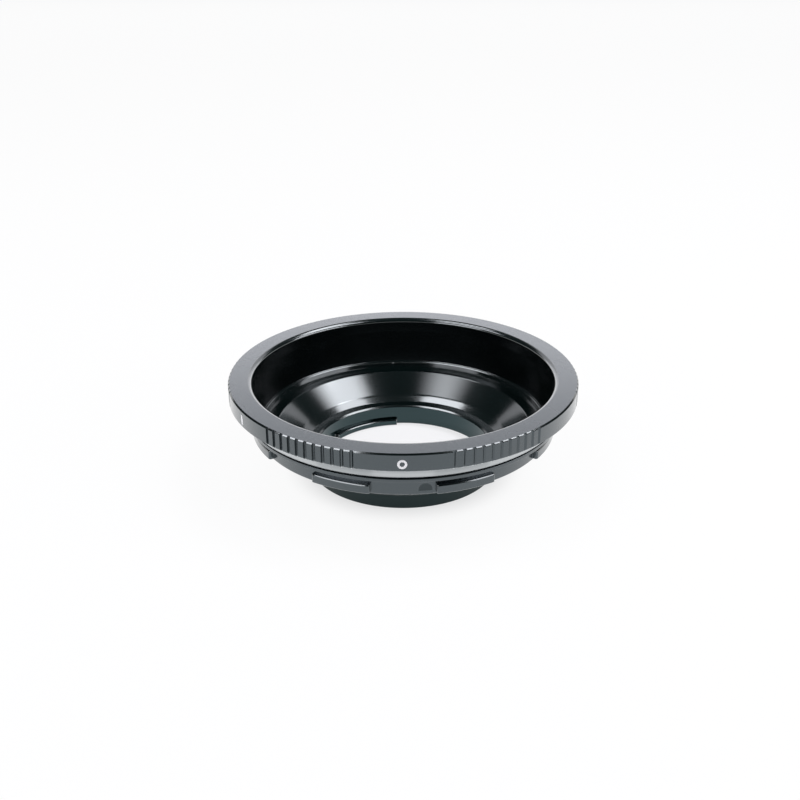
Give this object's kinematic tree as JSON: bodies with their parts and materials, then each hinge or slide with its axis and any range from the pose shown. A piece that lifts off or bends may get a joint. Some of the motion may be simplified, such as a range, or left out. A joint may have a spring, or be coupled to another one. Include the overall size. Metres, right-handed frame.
{
  "type": "lens mount adapter",
  "caption": "Black metal ring adapter with a fluted grip rim, outer bayonet lugs on a short wall, and a funnel down to a small tube with an inner bayonet for a lens.",
  "frame": {"origin": "centre of the foot face, on the optical axis", "axes": "+Z along the optical axis from the foot to the front face of the grip ring; -Y towards the ring's index mark"},
  "size_m": [0.104, 0.104, 0.03],
  "materials": {
    "ring_black": "satin black",
    "body_black": "satin black"
  },
  "bodies": {
    "root": {"grip_ring": "ring_black", "funnel_body": "body_black"}
  },
  "joints": []
}
